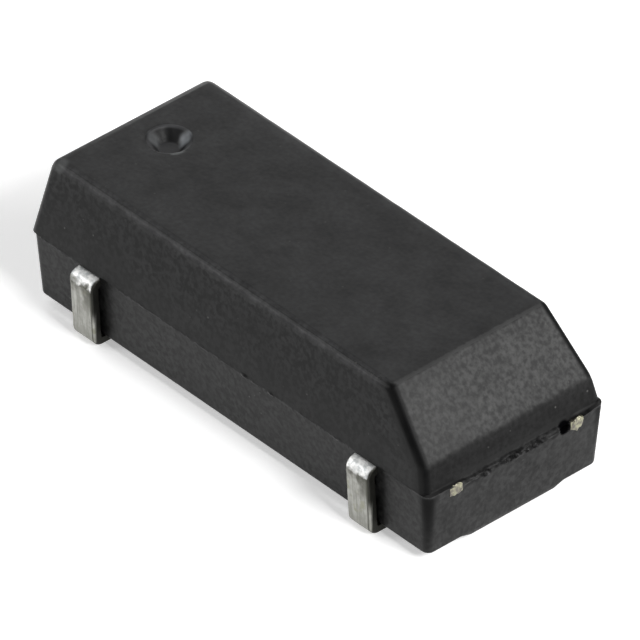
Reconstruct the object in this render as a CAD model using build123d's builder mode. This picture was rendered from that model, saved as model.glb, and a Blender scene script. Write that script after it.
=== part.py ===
from build123d import *
import os
from math import radians, sqrt, tan

# Moulded surface-mount quartz crystal: a tuning-fork crystal, sealed in its own small metal can,
# lies on its side in a block of black moulding compound and stands on four tinned J-leads.
# Millimetres. Origin on the seating plane, at the middle of the footprint. +X runs along the
# length to the sloped nose, +Z is up. Leads 1 and 4, at the -X end, carry the crystal.

# ---- driving dimensions ----------------------------------------------------------------------
# Crystal can
can_diameter = 2.0
can_length = 6.0
can_wall = 0.13
can_corner_radius = 0.28      # rolled edge round the closed end
stem_length = 0.75            # depth of the ring and glass that close the open end
stem_ring_wall = 0.16

# Terminal wires through the glass
wire_diameter = 0.18
wire_spacing = 0.7
wire_outside = 0.7            # from the glass to the cut end on the strip
wire_inside = 0.52            # from the glass to the end under the fork
weld_flat = 0.015             # how far the weld flattens each wire onto the strip

# Quartz tuning fork
fork_frequency = 32768.0      # Hz
quartz_bar_speed = 5425.0     # m/s, sound along a quartz bar
clamped_beam_factor = 0.1615  # first bending mode of a beam held at one end
tine_width = 0.38
fork_thickness = 0.13
slot_width = 0.16             # between the tines
fork_base_length = 0.9
fork_notch_depth = 0.1        # side notches that keep the tines' motion out of the base
fork_notch_length = 0.16
fork_wire_lap = 0.36          # length of base that lies on the wires
solder_film = 0.015           # between the wires and the fork's base
solder_height = 0.16
solder_length = 0.26
solder_width = 0.27

# Lead frame strip and the J-leads formed from it
strip_thickness = 0.125
lead_width = 0.45
lead_pitch = 5.55
lead_standoff = 0.045         # gap between the body's side and the inside of the leg
lead_inner_radius = 0.035
foot_tip_gap = 0.05           # from the tip of the foot to the step of the underside
die_roll_radius = 0.035       # the punch rounds the edges of the face it enters by
anchor_wing = 0.12            # how far the buried anchor is wider than the lead, on each side
anchor_cover = 0.17           # compound between the anchor and the body's side
can_insulation = 0.12         # compound between the can and the strip
pad_length = 0.5              # weld pad under a wire's end
pad_overlap = 0.06            # pad left over past the cut end of the wire
pad_spacing = 0.4             # between the two weld pads
tie_arm_length = 0.25         # strip that joins an anchor to its tie bar
tie_bar_width = 0.22
tie_bar_inset = 0.03          # from the anchor's inner edge to the middle of the tie bar

# Moulding compound round it all
cover_over_can = 0.2
cover_under_can = 0.12
cover_beside_can = 0.6
cover_past_can = 0.87         # from the can's closed end to the end of the mould half
wire_room = 1.07              # from the stem to the blunt end of the mould half
foot_clearance = 0.01         # between the underside and the top of the feet
plateau_drop = 0.055          # the middle of the underside stands this much lower
plateau_width = 1.5
plateau_step = 0.18           # the step slopes over this much width
strip_sink = 0.03             # the strip lies this far under the parting plane
half_mismatch = 0.06          # the upper half sits this far towards the blunt end
lower_draft = 3.5             # degrees
side_draft = 8.5
blunt_draft = 10.8
band_draft = 13.6             # on the short upright band under the slope
band_height = 0.375
slope_setback = 0.055         # top edge of the slope, back from the can's closed end
blunt_top_radius = 0.2        # along the top's blunt edge
slope_top_radius = 0.1
slope_foot_radius = 0.35      # where the slope runs into the band
side_edge_radius = 0.13       # up the corners and along the top's long edges
lower_corner_radius = 0.12
underside_edge_radius = 0.05

# Ejector-pin mark in the top, near the blunt end: a flat-bottomed dish with sloping walls
dimple_diameter = 0.64
dimple_floor_diameter = 0.3
dimple_depth = 0.17
dimple_edge_radius = 0.04
dimple_from_end = 0.75        # from the top's blunt edge
dimple_off_centre = 0.056

# ---- levels and places that follow ------------------------------------------------------------
underside_z = strip_thickness + foot_clearance
plateau_z = underside_z - plateau_drop
can_radius = can_diameter / 2
can_axis_z = plateau_z + cover_under_can + can_radius
strip_top_z = can_axis_z - wire_diameter / 2 + weld_flat
strip_mid_z = strip_top_z - strip_thickness / 2
parting_z = strip_top_z + strip_sink
top_z = can_axis_z + can_radius + cover_over_can

half_length = wire_room + can_length + cover_past_can
half_width = can_radius + cover_beside_can
upper_blunt_x = -(half_length + half_mismatch) / 2
upper_nose_x = upper_blunt_x + half_length
lower_blunt_x = upper_blunt_x + half_mismatch
lower_nose_x = upper_nose_x + half_mismatch

stem_x = (upper_blunt_x + lower_blunt_x) / 2 + wire_room
can_end_x = stem_x + can_length
pad_x = stem_x - wire_outside - pad_overlap
upper_height = top_z - parting_z
lower_height = parting_z - underside_z
band_top_z = parting_z + band_height
band_top_x = upper_nose_x - band_height * tan(radians(band_draft))
slope_top_x = can_end_x - slope_setback
top_blunt_x = upper_blunt_x + upper_height * tan(radians(blunt_draft))
top_half_width = half_width - upper_height * tan(radians(side_draft))
lower_slant = tan(radians(lower_draft))

leg_y = half_width + lead_standoff + strip_thickness / 2
foot_tip_y = plateau_width / 2 + plateau_step + foot_tip_gap
anchor_outer_y = half_width - anchor_cover
anchor_inner_y = sqrt(can_radius**2 - (can_axis_z - strip_top_z) ** 2) + can_insulation

os.makedirs("parts", exist_ok=True)


def finish(part, name):
    """Label a finished piece and write it to its own file."""
    part.label = name
    export_step(part, f"parts/{name}.step")


# ---- crystal can and stem ---------------------------------------------------------------------
# A drawn nickel-silver cap is pressed over a ring that holds the glass and both wires. The open
# end's face stands at stem_x, and everything turns about the can's axis.
stem_plane = Plane(origin=(stem_x, 0, can_axis_z), x_dir=(0, 1, 0), z_dir=(1, 0, 0))
bore_radius = can_radius - can_wall
glass_radius = bore_radius - stem_ring_wall
wire_places = GridLocations(wire_spacing, 0, 2, 1)

with BuildPart() as can_envelope:
    with BuildSketch(stem_plane):
        Circle(can_radius)
    extrude(amount=can_length)
    fillet(can_envelope.faces().sort_by(Axis.X)[-1].edges(), can_corner_radius)

with BuildPart() as crystal_can:
    add(can_envelope.part)
    with BuildSketch(stem_plane):
        Circle(bore_radius)
    extrude(amount=can_length - can_wall, mode=Mode.SUBTRACT)
    inner_end = crystal_can.edges().filter_by(GeomType.CIRCLE).sort_by(Axis.X)
    bore_rim = inner_end.filter_by(lambda edge: abs(edge.radius - bore_radius) < 1e-6)[-1]
    fillet(bore_rim, can_corner_radius - can_wall)
finish(crystal_can.part, "crystal_can")

with BuildPart() as stem_ring:
    with BuildSketch(stem_plane):
        Circle(bore_radius)
        Circle(glass_radius, mode=Mode.SUBTRACT)
    extrude(amount=stem_length)
finish(stem_ring.part, "stem_ring")

with BuildPart() as stem_glass:
    with BuildSketch(stem_plane):
        Circle(glass_radius)
        with wire_places:
            Circle(wire_diameter / 2, mode=Mode.SUBTRACT)
    extrude(amount=stem_length)
finish(stem_glass.part, "stem_glass")


# ---- terminal wires ---------------------------------------------------------------------------
def terminal_wire(y):
    """One wire through the glass, its outer end flattened by the weld onto the strip."""
    with BuildPart() as wire:
        with BuildSketch(stem_plane.offset(-wire_outside)):
            with Locations((y, 0)):
                Circle(wire_diameter / 2)
        extrude(amount=wire_outside + stem_length + wire_inside)
        with BuildSketch(Plane.XY.offset(strip_top_z)):
            with Locations((pad_x, y)):
                Rectangle(pad_length, wire_diameter * 2, align=(Align.MIN, Align.CENTER))
        extrude(amount=-wire_diameter, mode=Mode.SUBTRACT)
    return wire.part


wire_1 = terminal_wire(-wire_spacing / 2)
wire_4 = terminal_wire(wire_spacing / 2)
finish(wire_1, "terminal_wire_1")
finish(wire_4, "terminal_wire_4")

# ---- quartz tuning fork -----------------------------------------------------------------------
# The tines are as long as a beam of their width must be to ring at the fork's frequency.
tine_length = 1000 * sqrt(clamped_beam_factor * quartz_bar_speed * tine_width / 1000 / fork_frequency)
fork_width = 2 * tine_width + slot_width
fork_x = stem_x + stem_length + wire_inside - fork_wire_lap
fork_bottom_z = can_axis_z + wire_diameter / 2 + solder_film
fork_notch_x = fork_x + fork_base_length - fork_notch_length

with BuildPart() as tuning_fork:
    with BuildSketch(Plane.XY.offset(fork_bottom_z)):
        with Locations((fork_x, 0)):
            Rectangle(fork_base_length + tine_length, fork_width, align=(Align.MIN, Align.CENTER))
        with Locations((fork_x + fork_base_length, 0)):
            Rectangle(tine_length, slot_width, align=(Align.MIN, Align.CENTER), mode=Mode.SUBTRACT)
            Circle(slot_width / 2, mode=Mode.SUBTRACT)
        with Locations((fork_notch_x, fork_width / 2), (fork_notch_x, -fork_width / 2)):
            Rectangle(fork_notch_length, fork_notch_depth * 2, mode=Mode.SUBTRACT)
    extrude(amount=fork_thickness)
finish(tuning_fork.part, "tuning_fork")

# Two drops of solder fix the fork's base to the ends of the wires.
with BuildPart() as fork_solder:
    with BuildSketch(Plane.XY.offset(fork_bottom_z)):
        with Locations((fork_x + fork_wire_lap / 2, 0)):
            with GridLocations(0, wire_spacing, 1, 2):
                Rectangle(solder_length, solder_width)
    extrude(amount=-solder_height, taper=12)
    add(wire_1, mode=Mode.SUBTRACT)
    add(wire_4, mode=Mode.SUBTRACT)
finish(fork_solder.part, "fork_solder")


# ---- J-leads ----------------------------------------------------------------------------------
# Four leads are stamped in one strip of tinned copper alloy. Each comes out of the compound just
# under the parting plane, is bent down the drafted side and tucked under the body as a J.
lead_places = {
    "lead_1": (-lead_pitch / 2, -1),
    "lead_2": (lead_pitch / 2, -1),
    "lead_3": (lead_pitch / 2, 1),
    "lead_4": (-lead_pitch / 2, 1),
}


def strip_area(x_from, x_to, y_from, y_to):
    """A rectangle of the strip's stamped pattern, given by its edges."""
    with Locations(((x_from + x_to) / 2, (y_from + y_to) / 2)):
        Rectangle(x_to - x_from, y_to - y_from)


def stamp_anchor(x):
    """Wings that keep the lead from being pulled out of the compound."""
    reach = lead_width / 2 + anchor_wing
    strip_area(x - reach, x + reach, -anchor_outer_y, -anchor_inner_y)


def stamp_weld_arm(x):
    """Arm from a blunt-end lead to the pad under its wire."""
    strip_area(pad_x, x, -anchor_outer_y, -anchor_inner_y)
    strip_area(pad_x, pad_x + pad_length, -anchor_outer_y, -pad_spacing / 2)


def stamp_tie_bar(x):
    """Arm from a nose-end lead to the bar that is cut off flush with the end face."""
    bar_x = can_end_x + can_insulation
    bar_y = -anchor_inner_y + tie_bar_inset
    strip_area(x, bar_x + tie_arm_length, -anchor_outer_y, -anchor_inner_y)
    strip_area(bar_x, lower_nose_x, bar_y - tie_bar_width / 2, bar_y + tie_bar_width / 2)


def j_lead(x, side):
    """One lead at x, drawn for the -Y long side and mirrored for the other."""
    lean = (strip_mid_z - strip_thickness / 2) * lower_slant
    with BuildPart() as lead:
        with BuildSketch(Plane.YZ.offset(x - lead_width / 2)):
            with BuildLine():
                FilletPolyline(
                    (-anchor_inner_y, strip_mid_z),
                    (-leg_y, strip_mid_z),
                    (-leg_y + lean, strip_thickness / 2),
                    (-foot_tip_y, strip_thickness / 2),
                    radius=lead_inner_radius + strip_thickness / 2,
                )
            trace(line_width=strip_thickness)
        extrude(amount=lead_width)
        flank_edges = lead.faces().filter_by(Plane.YZ).edges().filter_by(Axis.Z, reverse=True)
        outer_edges = flank_edges.filter_by(
            lambda edge: edge.center().Z > strip_mid_z
            or edge.center().Z < strip_thickness / 2
            or edge.center().Y < -leg_y + lean / 2
        )
        fillet(outer_edges, die_roll_radius)
        with BuildSketch(Plane.XY.offset(strip_top_z)):
            stamp_anchor(x)
            if x < 0:
                stamp_weld_arm(x)
            else:
                stamp_tie_bar(x)
        extrude(amount=-strip_thickness)
        if side > 0:
            mirror(about=Plane.XZ, mode=Mode.REPLACE)
    return lead.part


leads = {name: j_lead(x, side) for name, (x, side) in lead_places.items()}
for name, lead in leads.items():
    finish(lead, name)

# ---- moulded body -----------------------------------------------------------------------------
# Black epoxy compound, moulded round the can and the strip in a two-part mould. Both halves
# draft away from the parting plane, and the upper one is shifted a little to the blunt end.
with BuildPart() as upper_half:
    with BuildSketch(Plane.XZ) as upper_profile:
        with BuildLine():
            Polyline(
                (upper_blunt_x, parting_z),
                (top_blunt_x, top_z),
                (slope_top_x, top_z),
                (band_top_x, band_top_z),
                (upper_nose_x, parting_z),
                close=True,
            )
        make_face()
        fillet(upper_profile.vertices().sort_by_distance((top_blunt_x, top_z))[0], blunt_top_radius)
        fillet(upper_profile.vertices().sort_by_distance((slope_top_x, top_z))[0], slope_top_radius)
        fillet(upper_profile.vertices().sort_by_distance((band_top_x, band_top_z))[0], slope_foot_radius)
    extrude(amount=half_width, both=True)
    with BuildSketch(Plane.YZ.offset(upper_blunt_x)):
        with BuildLine():
            Polyline(
                (-half_width, parting_z),
                (-top_half_width, top_z),
                (top_half_width, top_z),
                (half_width, parting_z),
                close=True,
            )
        make_face()
    extrude(amount=half_length, mode=Mode.INTERSECT)
    sides = upper_half.faces().filter_by(lambda face: abs(face.normal_at().Y) > 0.5)
    fillet(
        sides.edges().filter_by(lambda edge: edge.center().Z > parting_z + 0.001),
        side_edge_radius,
    )

with BuildPart() as lower_half:
    end_slant = (parting_z - plateau_z) * lower_slant
    with BuildSketch(Plane.XZ):
        with BuildLine():
            Polyline(
                (lower_blunt_x, parting_z),
                (lower_nose_x, parting_z),
                (lower_nose_x - end_slant, plateau_z),
                (lower_blunt_x + end_slant, plateau_z),
                close=True,
            )
        make_face()
    extrude(amount=half_width, both=True)
    with BuildSketch(Plane.YZ.offset(lower_blunt_x)):
        with BuildLine():
            Polyline(
                (0, parting_z),
                (half_width, parting_z),
                (half_width - lower_height * lower_slant, underside_z),
                (plateau_width / 2 + plateau_step, underside_z),
                (plateau_width / 2, plateau_z),
                (0, plateau_z),
                close=True,
            )
        make_face()
        mirror(about=Plane.YZ)
    extrude(amount=half_length, mode=Mode.INTERSECT)
    fillet(lower_half.edges().filter_by(lambda edge: abs(edge.tangent_at(0).Z) > 0.9), lower_corner_radius)
    walls = lower_half.faces().filter_by(lambda face: abs(face.normal_at().Z) < 0.5)
    fillet(
        walls.edges().filter_by(lambda edge: edge.center().Z < underside_z + 0.001),
        underside_edge_radius,
    )

with BuildPart() as moulded_body:
    add(upper_half.part)
    add(lower_half.part)
    with Locations((top_blunt_x + dimple_from_end, dimple_off_centre, top_z)):
        Cone(
            dimple_floor_diameter / 2,
            dimple_diameter / 2,
            dimple_depth,
            align=(Align.CENTER, Align.CENTER, Align.MAX),
            mode=Mode.SUBTRACT,
        )
    fillet(moulded_body.edges(Select.LAST).filter_by(GeomType.CIRCLE), dimple_edge_radius)
    add(can_envelope.part, mode=Mode.SUBTRACT)
    for buried in (wire_1, wire_4, *leads.values()):
        add(buried, mode=Mode.SUBTRACT)
finish(moulded_body.part, "moulded_body")
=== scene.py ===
import math

import bmesh
import bpy
from mathutils import Matrix, Quaternion, Vector, noise


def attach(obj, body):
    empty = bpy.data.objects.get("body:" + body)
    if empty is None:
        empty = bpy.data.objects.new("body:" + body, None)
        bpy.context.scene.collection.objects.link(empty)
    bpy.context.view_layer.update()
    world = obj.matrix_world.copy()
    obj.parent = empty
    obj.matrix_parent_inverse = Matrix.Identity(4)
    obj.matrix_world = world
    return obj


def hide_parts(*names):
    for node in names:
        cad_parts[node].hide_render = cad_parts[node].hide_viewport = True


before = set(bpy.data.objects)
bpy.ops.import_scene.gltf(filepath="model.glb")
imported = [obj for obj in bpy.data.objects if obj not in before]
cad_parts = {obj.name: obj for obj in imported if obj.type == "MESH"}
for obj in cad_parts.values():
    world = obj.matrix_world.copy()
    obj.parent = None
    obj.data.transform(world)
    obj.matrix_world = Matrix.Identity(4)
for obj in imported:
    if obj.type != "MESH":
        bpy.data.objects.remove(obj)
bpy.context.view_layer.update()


# ---- Camera -----------------------------------------------------------------------------------
# A long lens about 21 cm away looks down on the nose end and one long side. So long a lens shows
# hardly any perspective.
mm = 0.001
view_azimuth = math.radians(47.87)
view_elevation = math.radians(37.24)
view_roll = math.radians(-0.21)
view_distance = 209.5 * mm
view_target = Vector((-0.3389, 0.3930, 0.6781)) * mm

to_camera = Vector((
    math.sin(view_azimuth) * math.cos(view_elevation),
    -math.cos(view_azimuth) * math.cos(view_elevation),
    math.sin(view_elevation),
))
camera = bpy.data.objects.new("camera", bpy.data.cameras.new("camera"))
camera.data.lens = 875.1
camera.data.sensor_width = 36
camera.data.clip_start = 10 * mm
camera.data.clip_end = 2000 * mm
camera.location = view_target + view_distance * to_camera
camera.rotation_mode = "QUATERNION"
camera.rotation_quaternion = Quaternion(-to_camera, view_roll) @ (-to_camera).to_track_quat("-Z", "Y")
bpy.context.scene.collection.objects.link(camera)
bpy.context.scene.camera = camera
bpy.context.scene.view_settings.view_transform = "Standard"


# ---- Floor and lights -------------------------------------------------------------------------
# A sheet of matt white card lies under the part, a hair clear of its feet. Soft boxes stand round
# it, most of them above and behind, and the camera's own side is dim.
class Socket:
    """One output of a material's nodes. Sums on it add Math nodes, and node() adds any other."""

    def __init__(self, tree, output=None):
        self.tree = tree
        self.output = output

    def node(self, kind, settings, values, result=0):
        """Add a node, set it, link or fill its inputs, and give the wanted output."""
        made = self.tree.nodes.new("ShaderNode" + kind)
        for name, setting in settings.items():
            if name == "stops":
                elements = made.color_ramp.elements
                for place, colour in setting[2:]:
                    elements.new(place)
                for element, (place, colour) in zip(elements, setting):
                    element.position = place
                    element.color = colour
            else:
                setattr(made, name, setting)
        for name, value in values.items():
            if isinstance(value, Socket):
                self.tree.links.new(value.output, made.inputs[name])
            else:
                made.inputs[name].default_value = value
        return Socket(self.tree, made.outputs[result])

    def math(self, operation, *others):
        return self.node("Math", {"operation": operation}, dict(enumerate((self, *others))))

    def __add__(self, other):
        return self.math("ADD", other)

    def __sub__(self, other):
        return self.math("SUBTRACT", other)

    def __rsub__(self, other):
        return self.node("Math", {"operation": "SUBTRACT"}, {0: other, 1: self})

    def __mul__(self, other):
        return self.math("MULTIPLY", other)

    def __abs__(self):
        return self.math("ABSOLUTE")

    __radd__ = __add__
    __rmul__ = __mul__

    def blend(self, low, high):
        """Colour that goes from low to high as this value goes from 0 to 1."""
        return self.node("Mix", {"data_type": "RGBA"}, {0: self, 6: low, 7: high}, 2)

    def rise(self, low, high):
        """0 up to low, 1 from high on, and smooth between them. It falls where high is the lower."""
        return self.node(
            "MapRange",
            {"interpolation_type": "SMOOTHSTEP"},
            {"Value": self, "From Min": low, "From Max": high},
        )

    def within(self, start, full, last, end):
        """1 from full to last, and down to 0 at start and at end."""
        return self.rise(start, full) * self.rise(end, last)

    def near(self, middle, reach, full=0):
        """1 no more than full away from the middle, and down to 0 at reach."""
        return abs(self - middle).rise(reach, full)


def grey(level, blue=None):
    """A linear colour with red and green alike, and blue too unless it is given."""
    return (level, level, level if blue is None else blue, 1)


def finish_of(name, **constants):
    """A new material, its shader, and the Object coordinates that its patterns lie in."""
    material = bpy.data.materials.new(name)
    material.use_nodes = True
    shader = material.node_tree.nodes["Principled BSDF"]
    for socket, value in constants.items():
        shader.inputs[socket.replace("_", " ")].default_value = value
    place = Socket(material.node_tree).node("TexCoord", {}, {}, "Object")
    return material, shader, place


def grain_of(place, scale, detail, roughness=0.5):
    return place.node("TexNoise", {}, {
        "Vector": place, "Scale": scale, "Detail": detail, "Roughness": roughness,
    })


def feed(shader, socket, source):
    source.tree.links.new(source.output, shader.inputs[socket])


floor_reach = 400 * mm
floor_level = -0.004 * mm
card, card_shader, card_place = finish_of(
    "card", Roughness=0.9, Specular_IOR_Level=0.2, Emission_Strength=0.42, Emission_Color=grey(1),
)
card_shade = grain_of(card_place, 9000, 3).blend(grey(0.90466), grey(0.95597))
feed(card_shader, "Base Color", card_shade)

floor_form = bmesh.new()
bmesh.ops.create_grid(floor_form, x_segments=2, y_segments=2, size=floor_reach)
bmesh.ops.translate(floor_form, vec=(0, 0, floor_level), verts=floor_form.verts)
floor_mesh = bpy.data.meshes.new("floor")
floor_form.to_mesh(floor_mesh)
floor_form.free()
floor = bpy.data.objects.new("floor", floor_mesh)
floor.data.materials.append(card)
bpy.context.scene.collection.objects.link(floor)

# Each soft box: direction it stands in as (azimuth from the nose, elevation), side in mm, watts
soft_boxes = {
    "nose_side": ((0, 40), 50, 0.195),
    "behind_right": ((40, 33), 70, 0.093),
    "behind_low": ((140, 15), 60, 0.0284),
    "behind_left": ((140, 40), 70, 0.0103),
    "high_left": ((160, 60), 80, 0.0117),
    "left": ((180, 45), 100, 0.0328),
    "front_left": ((-135, 28), 60, 0.062),
}
box_distance = 160 * mm
for name, ((azimuth, elevation), side, power) in soft_boxes.items():
    lamp = bpy.data.lights.new(name, "AREA")
    lamp.shape = "SQUARE"
    lamp.size = side * mm
    lamp.energy = power
    towards = Matrix.Rotation(math.radians(azimuth), 3, "Z") @ Vector((
        math.cos(math.radians(elevation)), 0, math.sin(math.radians(elevation)),
    ))
    stand = bpy.data.objects.new(name, lamp)
    stand.location = box_distance * towards
    stand.rotation_mode = "QUATERNION"
    stand.rotation_quaternion = towards.to_track_quat("Z", "Y")
    bpy.context.scene.collection.objects.link(stand)

room_brightness = 0.09
room = bpy.data.worlds.new("room")
room.use_nodes = True
room.node_tree.nodes["Background"].inputs["Color"].default_value = grey(1)
room.node_tree.nodes["Background"].inputs["Strength"].default_value = room_brightness
bpy.context.scene.world = room


# ---- Moulded body -----------------------------------------------------------------------------
# Two halves of black epoxy compound, moulded in one shot round the can and the strip. A thin ragged
# line of flash follows the parting plane, and the nose end is rough where the runner broke off.
# All its places below are in mm, along, across and up the part.
parting_level = 1.155
top_level = 2.4
underside_level = 0.145
slope_top = Vector((3.045, 0, top_level))
slope_facing = Vector((0.734, 0, 0.679))
band_top = Vector((3.849, 0, 1.53))
band_facing = Vector((0.972, 0, 0.236))
side_top = Vector((0, 1.41, top_level))
side_facing = Vector((0, 0.988, 0.151))
blunt_edge = -3.7625
pale_spot_corner = (-3.6, -1.38, 2.36)
dish_middle = Vector((-3.0125, 0.056, top_level))
deep_pit = (3.93, 0.885, 1.068)


def scaled(place, *scale):
    return place.node("Mapping", {}, {"Vector": place, "Scale": scale})


def axis_of(place, letter):
    return place.node("SeparateXYZ", {}, {"Vector": place}, letter)


def cells_of(place, scale, result="Distance"):
    return place.node("TexVoronoi", {}, {"Vector": place, "Scale": scale}, result)


def distance_to(place, point):
    return place.node("VectorMath", {"operation": "DISTANCE"}, {0: place, 1: point}, "Value")


def dimmed(colour, share):
    return share.node("HueSaturation", {}, {"Color": colour, "Value": share})


def emboss(shader, height, strength, depth):
    bump = height.node("Bump", {}, {"Strength": strength, "Distance": depth, "Height": height})
    feed(shader, "Normal", bump)


compound, compound_shader, compound_place = finish_of("moulding compound", Specular_IOR_Level=0.152)
part_place = scaled(compound_place, 1000, 1000, 1000)
along = axis_of(part_place, "X")
across = axis_of(part_place, "Y")
height = axis_of(part_place, "Z")
off_middle = abs(across)
over_line = height - parting_level

# The compound's grain, from slow clouds to the powdery skin that the mould left on it
clouds = grain_of(part_place, 2.2, 3)
lumps = grain_of(part_place, 5, 3)
powder = grain_of(part_place, 14.5, 2).rise(0.25, 0.75)
mixed_powder = grain_of(part_place, 11, 2).rise(0.25, 0.75) * 0.5 + powder * 0.5
upper_powder = mixed_powder.rise(0.22, 0.78)
lower_powder = mixed_powder.rise(0.1, 0.9)

# How far a point lies past the plane of each sloping face
beyond_slope = (along - slope_top.x) * slope_facing.x + (height - slope_top.z) * slope_facing.z
beyond_band = (along - band_top.x) * band_facing.x + (height - band_top.z) * band_facing.z
beyond_side = (off_middle - side_top.y) * side_facing.y + (height - side_top.z) * side_facing.z
beyond_nose = beyond_slope.math("MAXIMUM", beyond_band)

# Where each face and line of the body lies
above_parting = over_line.rise(0, 0.01)
on_lower_half = (over_line + lumps * 0.06 + powder * 0.06).rise(0.095, 0.025)
on_flat_top = height.rise(top_level - 0.012, top_level - 0.004)
on_slope = beyond_slope.rise(-0.045, -0.02)
on_band = beyond_band.rise(-0.03, -0.002) * above_parting
on_long_sides = off_middle.rise(1.5, 1.56)
on_nose_end = along.rise(3.9, 3.93)

# Each face's grain runs between a dark and a pale shade of its own, set apart to stand for how much
# light falls on that face: painted light and shade over one compound. First the long sides' upper
# half, with painted light making it paler down towards the parting line
shade = upper_powder.blend(grey(0), (0.0125, 0.0126, 0.0128, 1))
shade = (height.rise(2.0, parting_level) * 0.5).blend(shade, grey(0.014))

# The flat top, paler along its far edge
top_shade = powder.blend((0.0127, 0.0129, 0.0132, 1), (0.0192, 0.0194, 0.0197, 1))
shade = on_flat_top.blend(shade, top_shade)
shade = (across.rise(1.15, 1.4) * on_flat_top * 0.8).blend(shade, grey(0.036, 0.0365))

# The slope, painted paler than the other faces to stand for the light that falls on it, and palest
# in its middle
mid_slope = height.within(1.55, 1.8, 2.15, 2.36)
slope_dark = mid_slope.blend(grey(0.019), grey(0.022))
slope_pale = mid_slope.blend(grey(0.05, 0.0495), grey(0.0595, 0.0587))
slope_powder = (powder - 0.5) * (1 - across.rise(-0.1, -0.9) * 0.28) + 0.5
shade = on_slope.blend(shade, slope_powder.blend(slope_dark, slope_pale))

# The short upright band under the slope, with painted light towards its top where the edge above
# shades it
up_band = height.rise(1.38, 1.52)
band_dark = up_band.blend(grey(0), grey(0.006))
band_pale = up_band.blend(grey(0.007), grey(0.014))
shade = on_band.blend(shade, powder.blend(band_dark, band_pale))

# The lower half, its nose end painted paler than its sides for the light that falls there, and the
# underside, painted paler to show though little light reaches it
low_side = lower_powder.blend(grey(0.0015), grey(0.0175))
low_end = lower_powder.blend(grey(0.006), grey(0.0212))
shade = on_lower_half.blend(shade, along.rise(3.85, 3.9).blend(low_side, low_end))
underside = powder.blend(grey(0.012), grey(0.045))
shade = height.rise(underside_level + 0.015, underside_level).blend(shade, underside)

# Painted highlight on the outer ledge where the halves meet at the nose, the ledge darker over its
# middle, painted light in patches along the flash to lift the shadow of its lip, and painted light
# on the slope's upper lip to fill the shade of its rounded edge
outer_ledge = on_nose_end * over_line.within(-0.025, -0.005, 0.01, 0.035) * off_middle.rise(0.95, 1.15)
shade = outer_ledge.blend(shade, grey(0.025))
mid_ledge = over_line.within(-0.01, 0.005, 0.045, 0.085) * off_middle.rise(1.1, 0.9)
shade = (mid_ledge * along.rise(3.85, 3.88) * 0.85).blend(shade, grey(0.008))
flash_line = (over_line + powder * 0.05).near(0, 0.04) * on_long_sides
shade = (flash_line * lumps.rise(0.45, 0.6)).blend(shade, grey(0.024))
slope_lip = beyond_slope.within(-0.032, -0.015, -0.005, -0.002) * height.rise(2.2, 2.3)
shade = slope_lip.blend(shade, grey(0.048))

# Painted highlight and shade over the long top edges, in stripes from 0 on the top to 1 down the
# side, each as (place, red and green, blue), broken up by the grain. A corner of the blunt end has a
# paler spot still.
edge_light_stops = (
    (0.0, 0.013, 0.0135), (0.22, 0.027, 0.0275), (0.32, 0.035, 0.036), (0.39, 0.024, 0.0245),
    (0.43, 0.037, 0.0375), (0.48, 0.037, 0.0375), (0.56, 0.024, 0.0245), (0.63, 0.039, 0.0395),
    (0.7, 0.056, 0.057), (0.8, 0.05, 0.051), (0.924, 0.032, 0.0325), (1.0, 0.018, 0.018),
)
round_edge = (off_middle - side_top.y - (height - side_top.z) * 1.2 + 0.11) * 3.85
edge_light = round_edge.node(
    "ValToRGB",
    {"stops": [(place, grey(level, blue)) for place, level, blue in edge_light_stops]},
    {"Fac": round_edge},
)
lit_edge = (beyond_side * 0.66 + (height - side_top.z) * 0.5 + powder * 0.03).rise(-0.067, -0.038)
lit_edge = lit_edge * beyond_slope.rise(-0.06, -0.12) * (blunt_edge - along).rise(-0.02, -0.1)
shade = lit_edge.blend(shade, dimmed(edge_light, upper_powder * 0.4 + lumps * 0.4 + 0.6))
at_corner = distance_to(part_place, pale_spot_corner).rise(0.15, 0.05)
shade = at_corner.blend(shade, (0.075, 0.078, 0.077, 1))

# Painted shade: the corners between nose end and long sides are painted an even near black
by_corner = beyond_nose + beyond_side
on_side_half = (beyond_side - beyond_nose).rise(-0.02, 0.04)
nose_half = by_corner.rise(-0.14, -0.07) * (1 - on_side_half)
side_half = by_corner.rise(-0.27, -0.06) * on_side_half
up_corner = (nose_half + side_half) * above_parting
low_corner = (along + off_middle).rise(5.37, 5.51) * over_line.rise(-0.01, -0.05)
shade = up_corner.math("MAXIMUM", low_corner).blend(shade, grey(0.008))

# The ejector pin's mark is a cup. Its inside is painted paler, palest on the floor, with painted
# reflections as pale patches on two sides, painted light over its front wall, painted shade on its
# back wall, and painted highlights along its back rim and a short arc of its front lip. Its
# directions across and towards the camera's side are turned 48 degrees from the part's axes
dish_along = along - dish_middle.x
dish_across = across - dish_middle.y
from_dish = (dish_along * dish_along + dish_across * dish_across).math("SQRT")
cup_across_view = dish_along * 0.672 + dish_across * 0.74
cup_towards_view = dish_along * 0.742 - dish_across * 0.671
in_dish = from_dish.rise(0.345, 0.325) * height.rise(2.15, 2.2)
dish_floor = from_dish.rise(0.17, 0.14)
shade = in_dish.blend(shade, dish_floor.blend(grey(0.016, 0.0165), grey(0.034, 0.035)))
front_wall = in_dish * from_dish.within(0.2, 0.26, 0.3, 0.33) * cup_towards_view.rise(-0.06, 0.06)
front_shade = cup_across_view.rise(-0.05, 0.1).blend(grey(0.045, 0.046), (0.075, 0.077, 0.078, 1))
shade = front_wall.blend(shade, front_shade)
at_back = in_dish * cup_towards_view.rise(-0.13, -0.19)
back_wall = at_back * from_dish.rise(0.31, 0.28) * cup_across_view.near(-0.08, 0.15, 0.09)
shade = back_wall.blend(shade, grey(0.014, 0.0145))
shade = (at_back * from_dish.rise(0.28, 0.31)).blend(shade, grey(0.05, 0.052))
side_reflections = in_dish * abs(cup_across_view).near(0.22, 0.11, 0.03) * cup_towards_view.near(-0.1, 0.13, 0.03)
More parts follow.
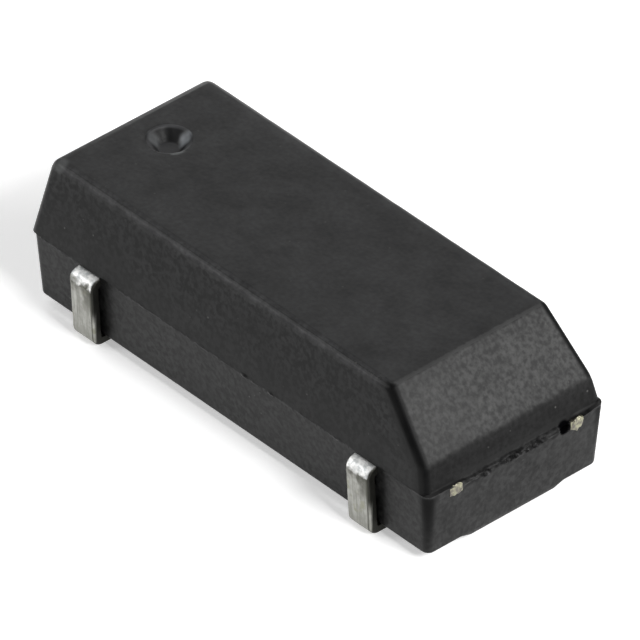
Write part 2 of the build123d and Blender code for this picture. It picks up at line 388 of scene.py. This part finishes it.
reflection_shade = cup_across_view.rise(-0.1, 0.1).blend((0.085, 0.088, 0.09, 1), (0.25, 0.265, 0.28, 1))
shade = (side_reflections * (lumps * 0.6 + 0.6)).blend(shade, reflection_shade)
lip_arc = from_dish.within(0.3, 0.33, 0.35, 0.38) * height.rise(2.3, 2.34)
lip_arc = lip_arc * cup_across_view.within(0, 0.06, 0.16, 0.24) * cup_towards_view.rise(0.1, 0.16)
shade = lip_arc.blend(shade, (0.07, 0.074, 0.074, 1))

# Slow clouds over it all, weaker on the slope, and a few pale chips of filler, faintest on the top
shade = dimmed(shade, clouds * (1.6 - on_slope * 0.9) + on_slope * 0.48 + 0.2)
chip_scale = 9
from_chip = cells_of(part_place, chip_scale)
chip_draw = cells_of(part_place, chip_scale, "Color")
chip_draw = chip_draw.node("SeparateColor", {}, {"Color": chip_draw})
speck = from_chip.rise(0.17, 0.1) * chip_draw.rise(0.92, 0.96) * (1 - on_flat_top * 0.65)
shade = speck.blend(shade, grey(0.06, 0.057))

# Torn spots along the nose end, each as (across, level, half width), and the deep pit, which get
# painted shade below
torn_spots = ((-0.55, 1.06, 0.08), (-0.06, 1.075, 0.16), (0.4, 1.075, 0.13))
half_height = 0.05
torn_and_shaded = over_line.within(-0.175, -0.125, -0.025, 0.005) * off_middle.rise(1.0, 0.88)
torn_and_shaded = torn_and_shaded * lumps.rise(0.5, 0.64) * 0.3
for spot_across, spot_level, half_width in torn_spots:
    sideways = (across - spot_across) * (1 / half_width)
    upwards = (height - spot_level) * (1 / half_height)
    in_spot = (sideways * sideways + upwards * upwards + lumps * 3.5).rise(3.4, 1.9)
    torn_and_shaded = torn_and_shaded.math("MAXIMUM", in_spot * 0.5)
torn_and_shaded = (torn_and_shaded * on_nose_end).math("MAXIMUM", distance_to(part_place, deep_pit).rise(0.13, 0.08))

feed(compound_shader, "Base Color", shade)
feed(compound_shader, "Roughness", clouds * 0.12 + on_slope * 0.1 + 0.3)
relief = powder * 0.001 + grain_of(part_place, 7, 1) * 0.004 + clouds * 0.012
emboss(compound_shader, relief, 0.5, mm)

# Painted shade: a matt near-black shader is mixed over the gleaming skin in the corners of the nose
# end, on the cup's back wall and one side of its lip, and just under the flash. The torn spots get
# it too: painted shade in their hollows, on compound that the tear left matt
under_flash = (over_line + powder * 0.09).rise(0.01, 0.05) * over_line.rise(0.01, -0.002)
under_flash = under_flash * on_long_sides
dish_lip = from_dish.within(0.3, 0.32, 0.35, 0.37) * height.rise(2.35, 2.37)
dish_lip = dish_lip * cup_across_view.rise(0.12, -0.05)
painted_shade_share = up_corner * (0.55 - on_side_half * 0.3)
for mask in (low_corner * 0.6, dish_lip * 0.08, back_wall * 0.25, under_flash * 0.3, torn_and_shaded):
    painted_shade_share = painted_shade_share.math("MAXIMUM", mask)
gleaming = Socket(compound.node_tree, compound_shader.outputs["BSDF"])
shade_shader = part_place.node("BsdfDiffuse", {}, {"Color": grey(0.0015, 0.0018)})
surface = shade_shader.node("MixShader", {}, {0: painted_shade_share, 1: gleaming, 2: shade_shader})
feed(compound.node_tree.nodes["Material Output"], "Surface", surface)


def merged_copy(node):
    """A workable copy of a solid's own mesh, in millimetres."""
    form = bmesh.new()
    form.from_mesh(node.data)
    bmesh.ops.scale(form, vec=(1000, 1000, 1000), verts=form.verts)
    bmesh.ops.remove_doubles(form, verts=form.verts, dist=1e-5)
    bmesh.ops.dissolve_limit(form, angle_limit=math.radians(0.5), verts=form.verts, edges=form.edges)
    return form


def cut_finer(form, axis, places, chosen):
    """Cut across an axis at every place, only through the faces whose middles are chosen."""
    region = [face for face in form.faces if chosen(face.calc_center_median())]
    touched = {vert for face in region for vert in face.verts}
    touched |= {edge for face in region for edge in face.edges}
    region += list(touched)
    normal = Vector([float(name == axis) for name in "xyz"])
    for place in places:
        region = bmesh.ops.bisect_plane(
            form, geom=region, plane_co=normal * place, plane_no=normal, dist=1e-5,
        )["geom"]


def steps(low, high, step):
    count = round((high - low) / step)
    return [low + (high - low) * number / count for number in range(count + 1)]


sorting_line = Vector((1, 0.755, 0.57))


def bring_in(form, name, material, solid, sharp_angle=32):
    """Turn a form in millimetres into the piece that is shown for a solid, riding with the one body.

    Its vertices and faces are sorted along a slanting line, so that they always come in one order.
    """
    bmesh.ops.recalc_face_normals(form, faces=form.faces)
    form.verts.sort(key=lambda vert: vert.co.dot(sorting_line))
    form.faces.sort(key=lambda face: face.calc_center_median().dot(sorting_line))
    bmesh.ops.scale(form, vec=(mm, mm, mm), verts=form.verts)
    for face in form.faces:
        face.smooth = True
    for edge in form.edges:
        edge.smooth = len(edge.link_faces) == 2 and edge.calc_face_angle() < math.radians(sharp_angle)
    mesh = bpy.data.meshes.new(name)
    form.to_mesh(mesh)
    form.free()
    mesh.materials.append(material)
    piece = bpy.data.objects.new(name, mesh)
    bpy.context.scene.collection.objects.link(piece)
    even = piece.modifiers.new("even shading", "WEIGHTED_NORMAL")
    even.keep_sharp = True
    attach(piece, "root")
    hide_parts(solid)


# The worn places are cut fine enough to be shaped: the nose end round its ledge, and the parting
# line and top edges of the long sides. The top round the ejector mark is cut into even facets too
end_from = 3.85
end_low = 0.98
end_high = 1.3
wall_from = 1.45
line_low = 1.115
line_high = 1.195
dish_limit = -2.35


def at_end(spot):
    return spot.x > end_from and end_low < spot.z < end_high


def at_line(spot):
    return abs(spot.y) > 1.5 and line_low < spot.z < line_high


def at_top_edge(spot):
    return 1.38 < abs(spot.y) < 1.5 and 2.25 < spot.z < 2.398


def on_top(spot):
    return spot.z > top_level - 0.001


def by_dish(spot):
    return on_top(spot) and spot.x < dish_limit


body_form = merged_copy(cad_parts["moulded_body"])
cut_finer(body_form, "z", (end_low, end_high), lambda spot: spot.x > 3.7)
cut_finer(body_form, "y", steps(-1.56, 1.56, 0.024), at_end)
cut_finer(body_form, "z", steps(0.99, 1.29, 0.02), at_end)
cut_finer(body_form, "z", (line_low, line_high), lambda spot: abs(spot.y) > wall_from)
cut_finer(body_form, "x", steps(-3.9, 3.9, 0.03), at_line)
cut_finer(body_form, "z", steps(1.125, 1.185, 0.01), at_line)
cut_finer(body_form, "x", steps(-3.7, 3.0, 0.06), at_top_edge)
cut_finer(body_form, "x", (dish_limit,), on_top)
cut_finer(body_form, "x", steps(-3.5, -2.4, 0.1), by_dish)
cut_finer(body_form, "y", steps(-1.2, 1.2, 0.1), by_dish)

# Pits torn out of the nose end, each as (across, level, half width, depth)
pits = (
    (-0.53, 1.07, 0.07, 0.05), (-0.12, 1.085, 0.06, 0.04), (0.02, 1.09, 0.07, 0.05),
    (0.22, 1.075, 0.06, 0.04), (0.36, 1.09, 0.07, 0.05), (0.5, 1.08, 0.06, 0.04),
    (0.885, 1.068, 0.092, 0.16),
)
# Nicks along the flash of the long sides, each as (along, half length, depth)
nicks = (
    (0.37, 0.09, 0.02), (0.52, 0.06, 0.012), (0.9, 0.06, 0.015), (-1.7, 0.05, 0.01), (2.2, 0.06, 0.01),
)
nick_level = 1.145
flash_height = 0.006
torn_level = 1.08
scar_reach = 0.85


def torn_end(spot):
    """Where the runner broke off: the ledge sags and swings, its face is rough, and pits are torn."""
    move = Vector((0, 0, 0))
    from_parting = abs(spot.z - parting_level)
    inner = 1 - min(1, max(0, (abs(spot.y) - 1.2) / 0.3))
    scar = 1 - min(1, max(0, (abs(spot.y) - scar_reach) / 0.2))
    at_ledge = max(0, 1 - from_parting / 0.14)
    under_ledge = max(0, 1 - abs(spot.z - torn_level) / 0.1) * scar
    rough = noise.fractal(Vector((spot.y * 6, spot.z * 8, 3.1)), 0.6, 2.2, 5)
    swing = noise.noise(Vector((spot.y * 5, 0.7, 8.3)))
    move.z += at_ledge * inner * (swing * 0.035 - 0.03)
    move.x += at_ledge * rough * 0.004 - under_ledge * 0.03 * max(0, rough)
    if spot.x > 3.96:
        move.x -= scar * 0.04 * max(0, 1 - from_parting / 0.06)
        move.z -= scar * 0.012 * max(0, 1 - from_parting / 0.03)
    for pit_across, pit_level, half, depth in pits:
        away = math.hypot(spot.y - pit_across, (spot.z - pit_level) * 1.3) / half
        if away < 1 and spot.x > 3.93:
            move.x -= depth * (1 - away ** 4)
    return move


def ragged_flash(spot):
    """The flash stands out unevenly from the parting line, gritty and with nicks out of it."""
    at_crest = 1 - abs(spot.z - parting_level) / 0.04
    ragged = noise.fractal(Vector((spot.x * 4, spot.y, 5.0)), 0.8, 2.2, 4)
    grit = noise.noise(Vector((spot.x * 15, spot.y, spot.z * 20)))
    push = at_crest * (flash_height * max(0, ragged) + grit * 0.004) - at_crest ** 2 * 0.002
    for nick_along, half, depth in nicks:
        push -= depth * max(0, 1 - math.hypot(spot.x - nick_along, (spot.z - nick_level) * 2) / half)
    waver = noise.noise(Vector((spot.x * 9, spot.y, 1.0)))
    return Vector((0, math.copysign(push, spot.y), at_crest * 0.01 * waver))


def worn_edge(spot):
    """Handling wears the long top edges down by a few thousandths of a millimetre."""
    wear = noise.fractal(Vector((spot.x * 3.5, spot.y, 9.0)), 0.7, 2.3, 4)
    return Vector((0, 0, -0.004 * max(0, wear + 0.6)))


for vert in body_form.verts:
    spot = vert.co.copy()
    in_flash = abs(spot.y) > wall_from and line_low + 0.001 < spot.z < line_high - 0.001
    in_edge = 1.36 < abs(spot.y) < 1.52 and 2.2 < spot.z < top_level - 0.0001
    if at_end(spot):
        vert.co += torn_end(spot)
    elif in_flash and abs(spot.x) < 3.89:
        vert.co += ragged_flash(spot)
    elif in_edge and -3.75 < spot.x < 3.02:
        vert.co += worn_edge(spot)

bring_in(body_form, "body_skin", compound, "moulded_body")


# ---- J-leads ----------------------------------------------------------------------------------
# Copper alloy strip, dipped in molten tin after it was bent. The tin is thick and bright over the
# bend and wiped thin down the leg, and the cut ends of the tie bars show the bare alloy.
lead_along = 2.775
lead_half_width = 0.225
strip_end = 3.985
tie_bar_across = 1.087

tin, tin_shader, tin_place = finish_of("dipped tin", Metallic=1.0)
tin_spot = scaled(tin_place, 1000, 1000, 1000)
tin_along = axis_of(tin_spot, "X")
tin_side = axis_of(tin_spot, "Y")
tin_height = axis_of(tin_spot, "Z")
from_middle = tin_along - tin_along.math("SIGN") * lead_along
streaks = grain_of(scaled(tin_spot, 26, 26, 2.2), 1, 4, 0.6)
blotches = grain_of(tin_spot, 5.5, 3)
mottle = grain_of(tin_spot, 13, 3)

# Where the thick tin of the bend ends, and where the strip's flank begins
above_edge = tin_height - (blotches * 0.3 + 0.83)
thick_tin = above_edge.rise(-0.02, 0.05)
below_bend = above_edge.rise(-0.16, -0.03)
at_flank = from_middle.rise(lead_half_width - 0.055, lead_half_width - 0.035)
past_line = from_middle.rise(lead_half_width - 0.03, lead_half_width - 0.012)

# The wiped leg: streaked, blotched and mottled, and darker near the foot. Painted shade darkens it
# along the flank's edge, just under the bend, and in a patch on one side
dull = streaks.rise(0.25, 0.75).blend(grey(0.25, 0.228), grey(0.47, 0.44))
dull = blotches.rise(0.56, 0.7).blend(dull, grey(0.31, 0.25))
dull = (mottle.rise(0.4, 0.68) * 0.3).blend(dull, grey(0.19, 0.165))
dull = (tin_height.rise(0.4, 0.12) * 0.32).blend(dull, grey(0.17, 0.145))
edge_dark = (at_flank * 0.75).blend(dull, grey(0.05, 0.04))
dull = (past_line * tin_height.rise(0.75, 0.35)).blend(edge_dark, dull)
dull = (below_bend * (mottle.rise(0.3, 0.65) * 0.5 + 0.3)).blend(dull, grey(0.08, 0.066))
side_shade = (from_middle + mottle * 0.12).rise(0.03, 0.2) * tin_height.rise(0.5, 0.8)
dull = (side_shade * 0.65).blend(dull, grey(0.07, 0.055))

# Over the bend the tin is fresh, painted shade darkens its flank, and the cut ends are bare alloy
fresh = mottle.rise(0.3, 0.62).blend((0.58, 0.6, 0.6, 1), grey(0.97, 0.955))
alloy = mottle.rise(0.35, 0.65).blend((0.17, 0.155, 0.14, 1), (0.4, 0.39, 0.28, 1))
flank_shade = tin_height.rise(0.4, 0.65).math("MAXIMUM", abs(tin_side).rise(1.7, 1.66))
tin_shade = thick_tin.blend(dull, fresh)
tin_shade = (past_line * flank_shade).blend(tin_shade, grey(0.04, 0.035))
tin_shade = tin_along.rise(strip_end - 0.05, strip_end).blend(tin_shade, alloy)
feed(tin_shader, "Base Color", tin_shade)
feed(tin_shader, "Roughness", streaks * 0.1 + 0.45)
emboss(tin_shader, streaks * 0.004 + mottle * 0.007, 0.5, mm)

# Each lead: its name, and the side of the body that its cut tie bar lies on, or 0 where it has none
leads = (("lead_1", 0), ("lead_2", -1), ("lead_3", 1), ("lead_4", 0))
leg_from = 1.55
outside_body = 1.61
smear_level = 1.055
smear_limit = 4.015


def on_leg(spot):
    return abs(spot.y) > leg_from


for name, tie_bar_side in leads:
    middle = lead_along if tie_bar_side else -lead_along
    lead_form = merged_copy(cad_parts[name])
    across_leg = steps(middle - lead_half_width + 0.02, middle + lead_half_width - 0.02, 0.025)
    cut_finer(lead_form, "x", across_leg, on_leg)
    cut_finer(lead_form, "z", steps(0.02, 1.1, 0.027), on_leg)
    bmesh.ops.recalc_face_normals(lead_form, faces=lead_form.faces)
    lead_form.normal_update()

    # The tin set in low lumps, thicker over the bend
    lumped = {}
    for vert in lead_form.verts:
        if abs(vert.co.y) > outside_body:
            lump = noise.fractal(vert.co * 7, 0.8, 2.1, 3)
            thickness = 0.003 + 0.005 * min(1, max(0, (vert.co.z - 0.8) / 0.15))
            lumped[vert] = vert.normal * lump * thickness
    for vert, move in lumped.items():
        vert.co += move
        vert.co.z = max(0, vert.co.z)

    # The blade that cut a tie bar smeared its end
    if tie_bar_side:
        smear_middle = Matrix.Translation((
            strip_end, tie_bar_side * tie_bar_across + 0.015, smear_level - tie_bar_side * 0.008,
        ))
        smear = bmesh.ops.create_uvsphere(
            lead_form, u_segments=32, v_segments=20, radius=1,
            matrix=smear_middle @ Matrix.Diagonal((0.034, 0.112, 0.1, 1)),
        )
        for vert in smear["verts"]:
            vert.co += vert.normal * 0.02 * noise.fractal(vert.co * 14, 0.7, 2.1, 3)
            vert.co.x = min(vert.co.x, smear_limit)
    bring_in(lead_form, name + "_skin", tin, name, sharp_angle=50)


# ---- Crystal can ------------------------------------------------------------------------------
# The drawn nickel silver cap that seals the crystal, pressed over the ring of the stem. Drawing
# leaves fine lines along it, and the heat of moulding a faint yellow stain.
def finish_solid(name, material):
    """Give an inner solid its own material in place of the plain one."""
    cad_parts[name].data.materials.clear()
    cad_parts[name].data.materials.append(material)


can_metal, can_shader, can_place = finish_of("nickel silver", Metallic=1.0)
can_lines = grain_of(scaled(can_place, 900, 24000, 24000), 1, 4)
can_stain = grain_of(can_place, 900, 3).rise(0.4, 0.7)
can_shade = can_stain.blend((0.6, 0.58, 0.52, 1), (0.55, 0.49, 0.37, 1))
can_shade = (can_lines * 0.4).blend(can_shade, (0.42, 0.4, 0.36, 1))
feed(can_shader, "Base Color", can_shade)
feed(can_shader, "Roughness", can_lines * 0.3 + 0.15)
emboss(can_shader, can_lines, 0.4, 0.004 * mm)
finish_solid("crystal_can", can_metal)


# ---- Stem ring --------------------------------------------------------------------------------
# Turned ring of iron-nickel alloy, nickel plated, that the glass is fused into and the can grips.
# The turning tool left fine rings on it.
ring_metal, ring_shader, ring_place = finish_of("plated ring", Metallic=1.0)
ring_marks = grain_of(scaled(ring_place, 40000, 2500, 2500), 1, 3)
feed(ring_shader, "Base Color", ring_marks.blend((0.44, 0.41, 0.35, 1), (0.66, 0.63, 0.56, 1)))
feed(ring_shader, "Roughness", ring_marks * 0.35 + 0.12)
emboss(ring_shader, ring_marks, 0.4, 0.005 * mm)
finish_solid("stem_ring", ring_metal)


# ---- Stem glass -------------------------------------------------------------------------------
# Dark green sealing glass fused round both wires, full of fine bubbles and glossy where it melted.
# It holds the wires apart in the ring and closes the can.
glass, glass_shader, glass_place = finish_of("sealing glass", Coat_Weight=0.6, Coat_Roughness=0.05)
from_bubble = cells_of(glass_place, 14000)
glass_swirl = grain_of(glass_place, 2600, 4)
glass_shade = glass_swirl.rise(0.3, 0.7).blend((0.012, 0.035, 0.03, 1), (0.035, 0.085, 0.07, 1))
glass_shade = from_bubble.rise(0.16, 0.08).blend(glass_shade, (0.16, 0.24, 0.21, 1))
feed(glass_shader, "Base Color", glass_shade)
feed(glass_shader, "Roughness", glass_swirl * 0.2 + 0.06)
emboss(glass_shader, from_bubble.rise(0.22, 0.05) + glass_swirl, 0.3, 0.01 * mm)
finish_solid("stem_glass", glass)


# ---- Terminal wires ---------------------------------------------------------------------------
# Iron-nickel wires through the glass, plated with tin and copper. Each is soldered to the fork at
# one end and welded to its lead at the other, and scorched blue round the weld.
weld_heat_from = -3.05 * mm
weld_heat_to = -3.3 * mm
wire_metal, wire_shader, wire_place = finish_of("plated wire", Metallic=1.0)
wire_lines = grain_of(scaled(wire_place, 1500, 50000, 50000), 1, 3)
scorch = axis_of(wire_place, "X").rise(weld_heat_from, weld_heat_to)
wire_shade = wire_lines.blend((0.55, 0.5, 0.42, 1), (0.78, 0.74, 0.66, 1))
feed(wire_shader, "Base Color", (scorch * 0.6).blend(wire_shade, grey(0.2, 0.3)))
feed(wire_shader, "Roughness", wire_lines * 0.3 + scorch * 0.2 + 0.15)
emboss(wire_shader, wire_lines, 0.4, 0.003 * mm)
for name in ("terminal_wire_1", "terminal_wire_4"):
    finish_solid(name, wire_metal)


# ---- Tuning fork ------------------------------------------------------------------------------
# Etched quartz blank. Silver electrodes run down the middle of the tines and spread over the base,
# and the bare quartz left between them is pale and clear.
tine_middle = 0.27 * mm
base_from = -1.1 * mm
base_full = -1.13 * mm
quartz, quartz_shader, quartz_place = finish_of("silvered quartz", Coat_Weight=0.3)
fork_across = abs(axis_of(quartz_place, "Y"))
on_stripe = fork_across.near(tine_middle, 0.13 * mm, 0.115 * mm)
on_base = axis_of(quartz_place, "X").rise(base_from, base_full)
off_split = fork_across.rise(0.025 * mm, 0.035 * mm)
silvered = on_stripe.math("MAXIMUM", on_base) * off_split
fork_grain = grain_of(quartz_place, 16000, 4)
bare_quartz = fork_grain.blend((0.4, 0.44, 0.46, 1), (0.55, 0.58, 0.6, 1))
silver = fork_grain.blend(grey(0.68, 0.66), (0.88, 0.87, 0.84, 1))
feed(quartz_shader, "Base Color", silvered.blend(bare_quartz, silver))
feed(quartz_shader, "Metallic", silvered)
feed(quartz_shader, "Roughness", fork_grain * 0.2 + silvered * 0.12 + 0.08)
emboss(quartz_shader, silvered + fork_grain * 0.3, 0.3, 0.002 * mm)
finish_solid("tuning_fork", quartz)


# ---- Fork solder ------------------------------------------------------------------------------
# Two drops of high-melting solder between the wires and the fork's base, frosted as they cooled.
# Flux has left brown stains on them.
solder, solder_shader, solder_place = finish_of("frosted solder", Metallic=1.0)
crystals = cells_of(solder_place, 30000)
flux = grain_of(solder_place, 6000, 3).rise(0.55, 0.68)
frosted = crystals.rise(0.1, 0.6).blend(grey(0.62, 0.64), grey(0.4, 0.41))
feed(solder_shader, "Base Color", flux.blend(frosted, (0.22, 0.17, 0.09, 1)))
feed(solder_shader, "Roughness", crystals * 0.4 + 0.25)
emboss(solder_shader, crystals, 0.5, 0.006 * mm)
finish_solid("fork_solder", solder)
